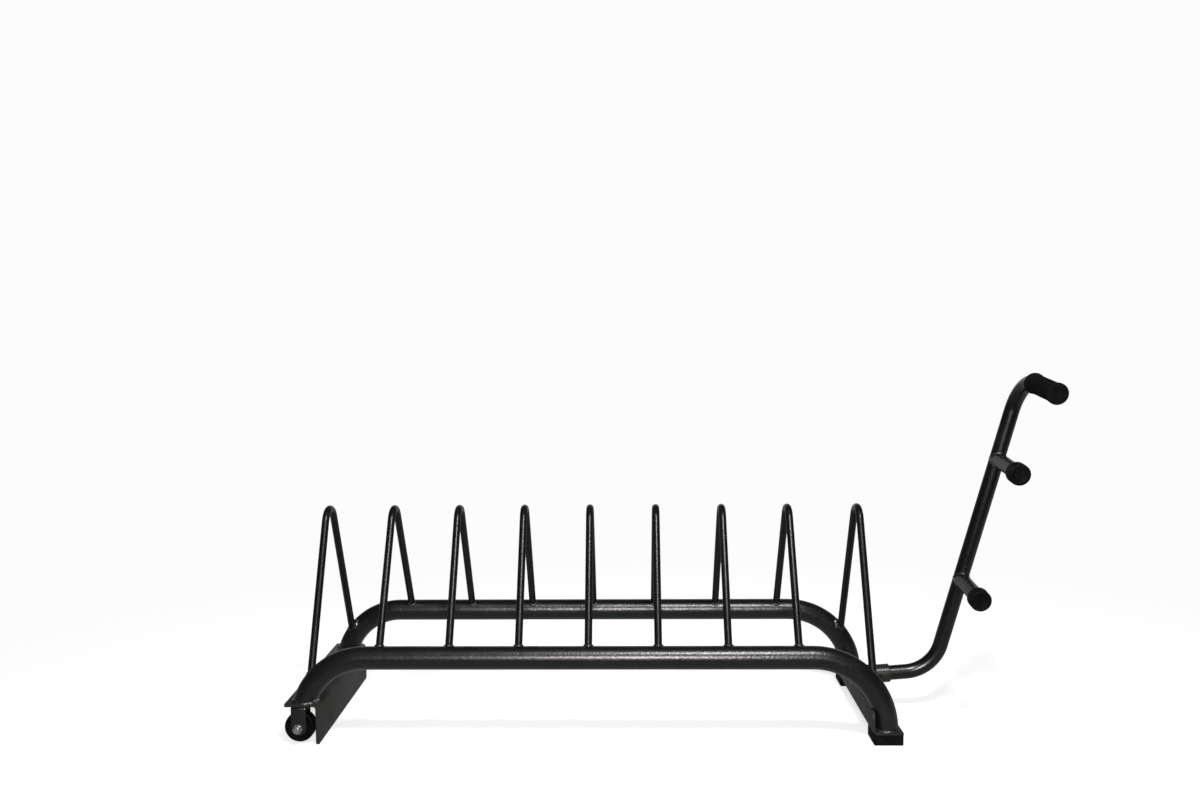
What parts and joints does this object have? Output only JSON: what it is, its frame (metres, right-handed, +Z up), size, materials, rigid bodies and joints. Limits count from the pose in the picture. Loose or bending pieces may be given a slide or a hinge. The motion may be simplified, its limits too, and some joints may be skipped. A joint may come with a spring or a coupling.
{
  "type": "bumper plate rack",
  "caption": "Low rolling rack that holds bumper plates on edge between rod dividers, with a bent pull handle that has pegs for small plates.",
  "frame": {"origin": "on the floor, under the middle of the wheel-end stand's edge", "axes": "+X along the rack from the wheel end to the handle, +Y from the front to the back, +Z up"},
  "size_m": [1.2507, 0.4006, 0.6009],
  "materials": {
    "charcoal_paint": "semi-gloss charcoal powder coat with a fine grain",
    "handle_paint": "smooth glossy near-black powder coat",
    "black_rubber": "matt moulded rubber",
    "wheel_rubber": "smooth hard rubber",
    "zinc_plate": "bright zinc plate",
    "black_oxide": "black oxide on steel"
  },
  "bodies": {
    "frame": {"front_rail": "charcoal_paint", "rear_rail": "charcoal_paint", "divider_1": "charcoal_paint", "divider_2": "charcoal_paint", "divider_3": "charcoal_paint", "divider_4": "charcoal_paint", "divider_5": "charcoal_paint", "divider_6": "charcoal_paint", "divider_7": "charcoal_paint", "divider_8": "charcoal_paint", "divider_9": "charcoal_paint", "wheel_end_stand": "charcoal_paint", "foot_end_angle": "charcoal_paint", "handle_socket": "charcoal_paint", "socket_gusset": "charcoal_paint", "socket_set_screw": "black_oxide", "handle_tube": "handle_paint", "lower_peg": "handle_paint", "upper_peg": "handle_paint", "lower_peg_cap": "black_rubber", "upper_peg_cap": "black_rubber", "handle_grip": "black_rubber", "front_fork": "charcoal_paint", "rear_fork": "charcoal_paint", "front_wheel_sleeve": "zinc_plate", "rear_wheel_sleeve": "zinc_plate", "front_wheel_bolt": "zinc_plate", "rear_wheel_bolt": "zinc_plate", "front_wheel_nut": "zinc_plate", "rear_wheel_nut": "zinc_plate", "front_foot": "black_rubber", "rear_foot": "black_rubber", "front_foot_screw": "zinc_plate", "rear_foot_screw": "zinc_plate", "front_foot_washer": "zinc_plate", "rear_foot_washer": "zinc_plate"},
    "front_wheel": {"front_wheel": "wheel_rubber"},
    "rear_wheel": {"rear_wheel": "wheel_rubber"}
  },
  "joints": [
    {"name": "front_wheel_spin", "type": "hinge", "parent": "frame", "child": "front_wheel", "pos_m": [-0.0308, -0.1585, 0.02805], "axis": [0, 1, 0], "continuous": true},
    {"name": "rear_wheel_spin", "type": "hinge", "parent": "frame", "child": "rear_wheel", "pos_m": [-0.0308, 0.1585, 0.02805], "axis": [0, 1, 0], "continuous": true}
  ]
}
